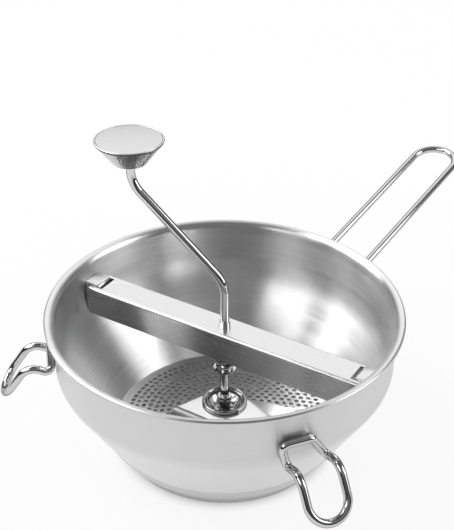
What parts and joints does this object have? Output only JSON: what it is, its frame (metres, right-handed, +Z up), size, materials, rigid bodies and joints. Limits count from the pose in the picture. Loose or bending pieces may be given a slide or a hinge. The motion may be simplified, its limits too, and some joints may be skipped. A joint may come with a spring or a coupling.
{
  "type": "food mill",
  "caption": "Hand-cranked food mill: a conical steel bowl with a perforated disc, a sprung crossbar, a crank with a bladed shaft, a long wire handle and wire pot hooks.",
  "frame": {"origin": "centre of the foot ring's lower edge, on the crank's axis", "axes": "+Z up along the crank's axis, +X along the crossbar, the long handle points close to +Y"},
  "size_m": [0.3187, 0.4292, 0.2177],
  "materials": {
    "bowl_steel": "satin outside, brushed round inside",
    "disc_steel": "satin pressing",
    "bar_steel": "satin",
    "wire_chrome": "polished wire",
    "rod_chrome": "polished rod",
    "blade_steel": "satin",
    "small_steel": "polished small parts",
    "spring_steel": "drawn spring wire",
    "knob_chrome": "mirror-polished cone",
    "knob_satin": "satin cap",
    "sleeve_plastic": "dark bearing plastic"
  },
  "bodies": {
    "bowl": {"bowl": "bowl_steel", "straining_disc": "disc_steel", "spare_disc_fine": "disc_steel", "spare_disc_medium": "disc_steel", "spare_disc_coarse": "disc_steel", "bracket_left": "bar_steel", "bracket_right": "bar_steel", "handle_loop": "wire_chrome", "hook_left": "wire_chrome", "hook_right": "wire_chrome"},
    "crossbar": {"crossbar": "bar_steel", "crossbar_bushing": "small_steel", "upper_spring_washer": "small_steel", "spring": "spring_steel"},
    "crank": {"lower_spring_washer": "small_steel", "spring_pin": "small_steel", "crank_rod": "rod_chrome", "shaft_collar": "small_steel", "blade": "blade_steel", "blade_hub": "small_steel", "hub_clip": "small_steel", "knob_washer": "small_steel"},
    "knob": {"knob_shell": "knob_chrome", "knob_cap": "knob_satin", "knob_sleeve": "sleeve_plastic"}
  },
  "joints": [
    {"name": "crossbar_press", "type": "slide", "parent": "bowl", "child": "crossbar", "axis": [0, 0, -1], "range_m": [0, 0.006], "stiffness_N_per_m": 2000, "springref_m": -0.006, "deforming": ["spring"]},
    {"name": "crank_turn", "type": "hinge", "parent": "bowl", "child": "crank", "pos_m": [0, 0, 0.06], "axis": [0, 0, -1], "continuous": true},
    {"name": "knob_spin", "type": "hinge", "parent": "crank", "child": "knob", "pos_m": [-0.067, -0.00823, 0.209], "axis": [0, 0, 1], "continuous": true}
  ]
}
